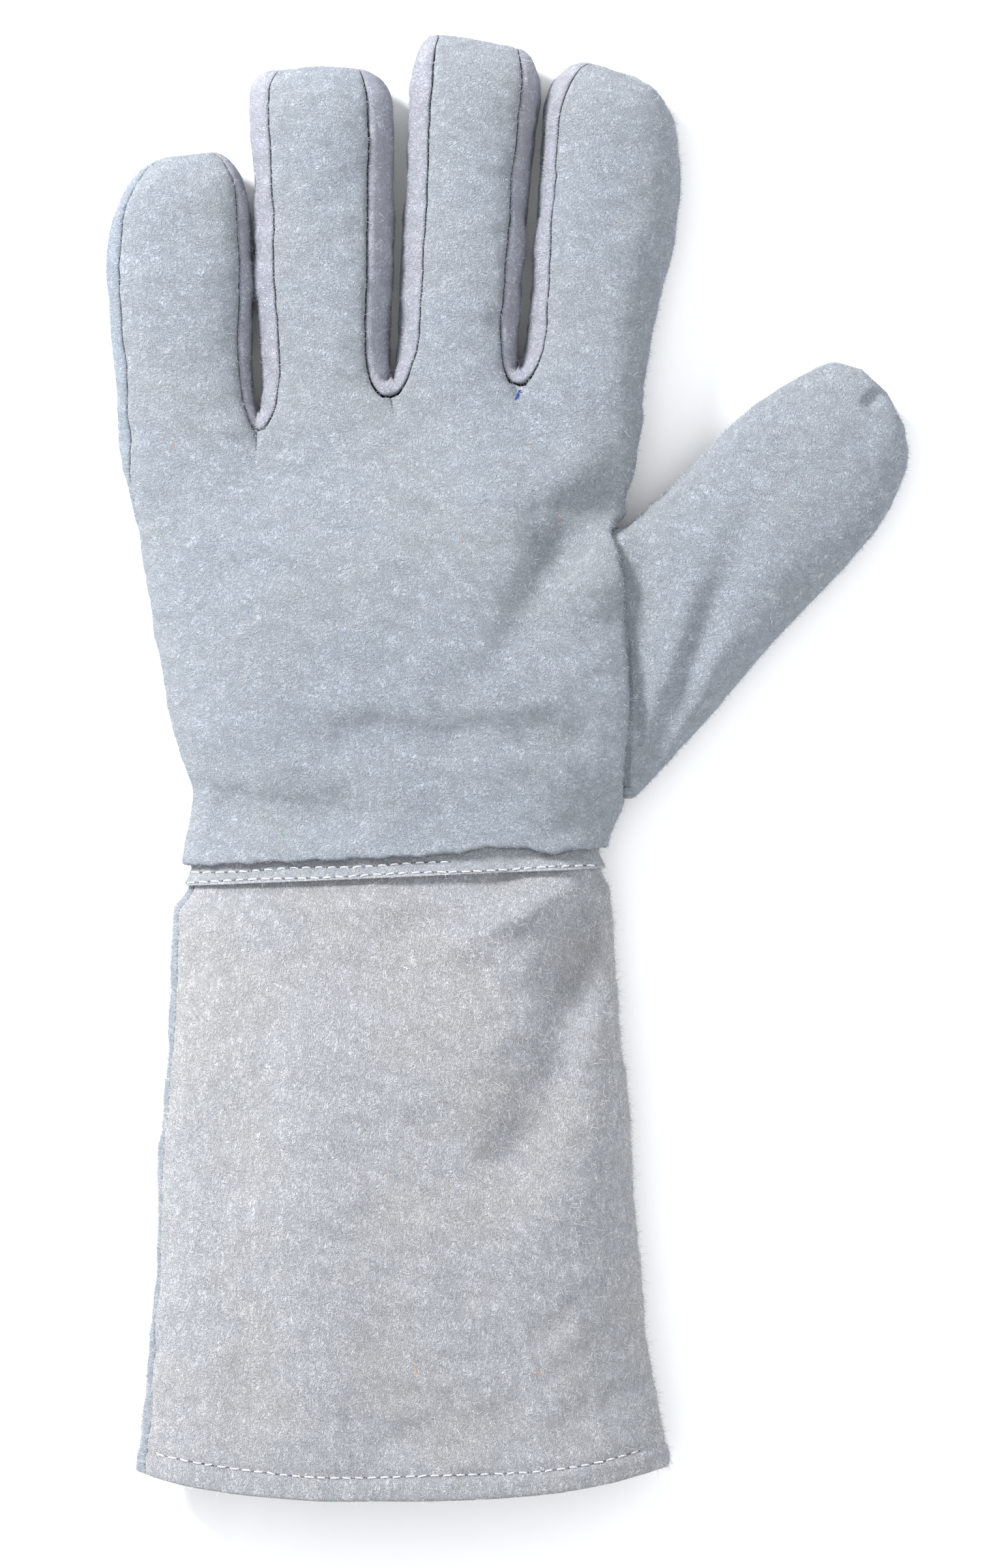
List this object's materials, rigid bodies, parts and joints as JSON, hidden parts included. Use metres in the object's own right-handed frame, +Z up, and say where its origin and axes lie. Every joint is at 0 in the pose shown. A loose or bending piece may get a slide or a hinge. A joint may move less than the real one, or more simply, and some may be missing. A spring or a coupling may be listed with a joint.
{
  "type": "welding gauntlet",
  "caption": "Split-leather welding gauntlet: a five-fingered hand with side strips between the fingers, a wing thumb, a stitched wrist band and a long flared cuff, lying on its back.",
  "frame": {"origin": "under the middle of the glove's bounding box, on the surface it rests on", "axes": "+Y from the cuff's mouth to the fingertips, +X towards the thumb, +Z up out of the front of the hand"},
  "size_m": [0.191, 0.3502, 0.0455],
  "materials": {
    "hand_leather": "matte split suede, blue grey",
    "fork_leather": "matte split suede, blue grey with a trace of violet",
    "band_leather": "matte split suede, pale blue grey",
    "cuff_leather": "matte split suede, pale warm grey with long nap"
  },
  "bodies": {
    "root": {"hand_front_panel": "hand_leather", "hand_rear_panel": "hand_leather", "fork_middle_index": "fork_leather", "fork_ring_middle": "fork_leather", "fork_little_ring": "fork_leather", "thumb": "hand_leather", "wrist_band": "band_leather", "cuff_front_panel": "cuff_leather", "cuff_rear_panel": "cuff_leather"}
  },
  "joints": []
}
